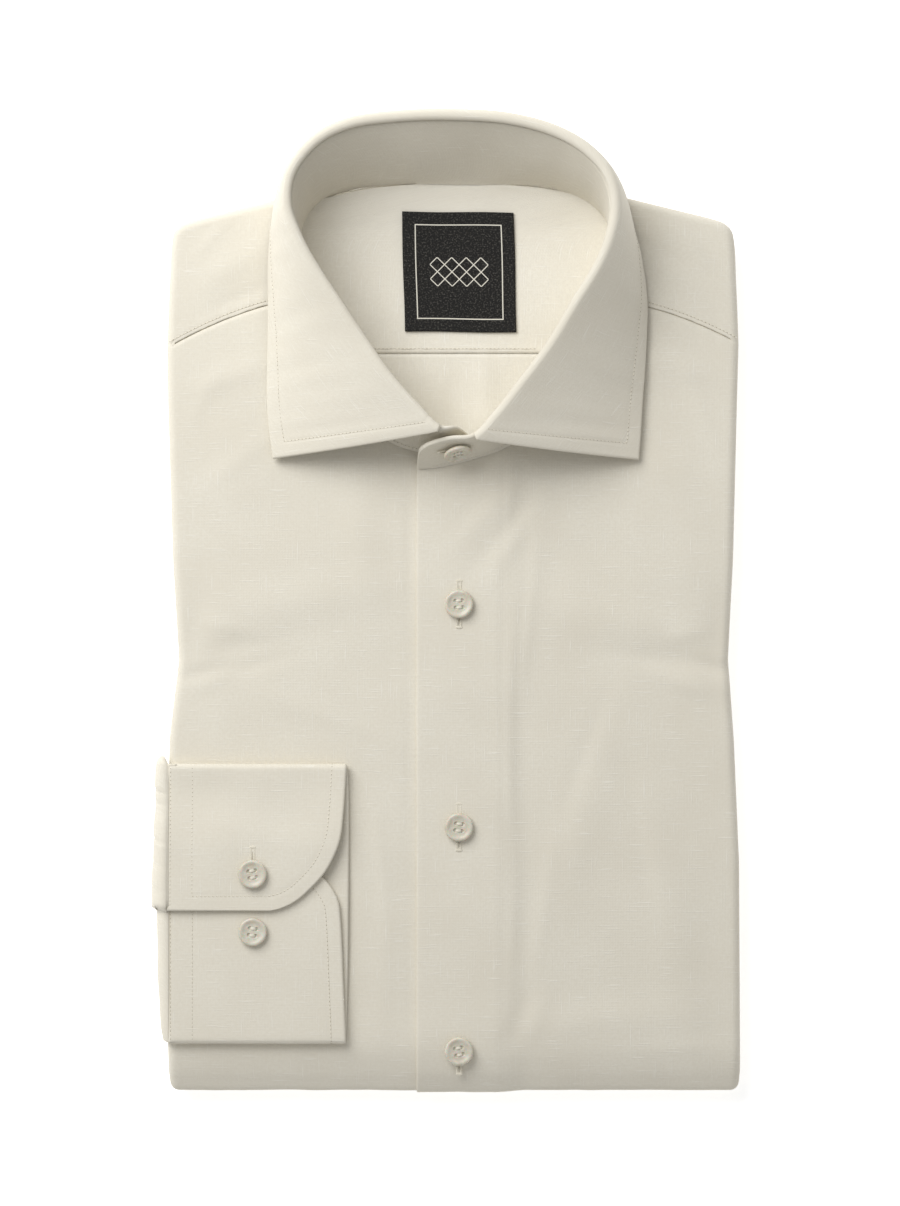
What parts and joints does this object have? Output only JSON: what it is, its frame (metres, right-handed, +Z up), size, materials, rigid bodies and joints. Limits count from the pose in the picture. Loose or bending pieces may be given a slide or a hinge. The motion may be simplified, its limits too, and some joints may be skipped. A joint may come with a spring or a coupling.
{
  "type": "linen dress shirt",
  "caption": "Long-sleeved linen shirt, buttoned and folded flat, with a standing spread collar and one barrel cuff turned onto the front.",
  "frame": {"origin": "middle of the folded shirt on the surface that it lies on", "axes": "+Y towards the collar, +Z up out of the front, +X to the right of a viewer who looks down on the front with the collar away"},
  "size_m": [0.2338, 0.3912, 0.0487],
  "materials": {
    "linen": "matt cream linen",
    "linen_inside": "matt cream linen, inner side",
    "button": "polished cream",
    "label": "matt black woven"
  },
  "bodies": {
    "root": {"folded_layers": "linen_inside", "front_button_side": "linen", "front_buttonhole_side": "linen", "yoke_outer": "linen", "yoke_inner": "linen_inside", "back_panel": "linen_inside", "collar_stand": "linen", "collar_leaf": "linen", "cuff": "linen", "sleeve": "linen", "neck_label": "label", "front_button_1": "button", "front_button_2": "button", "front_button_3": "button", "collar_button": "button", "cuff_button_1": "button", "cuff_button_2": "button"}
  },
  "joints": []
}
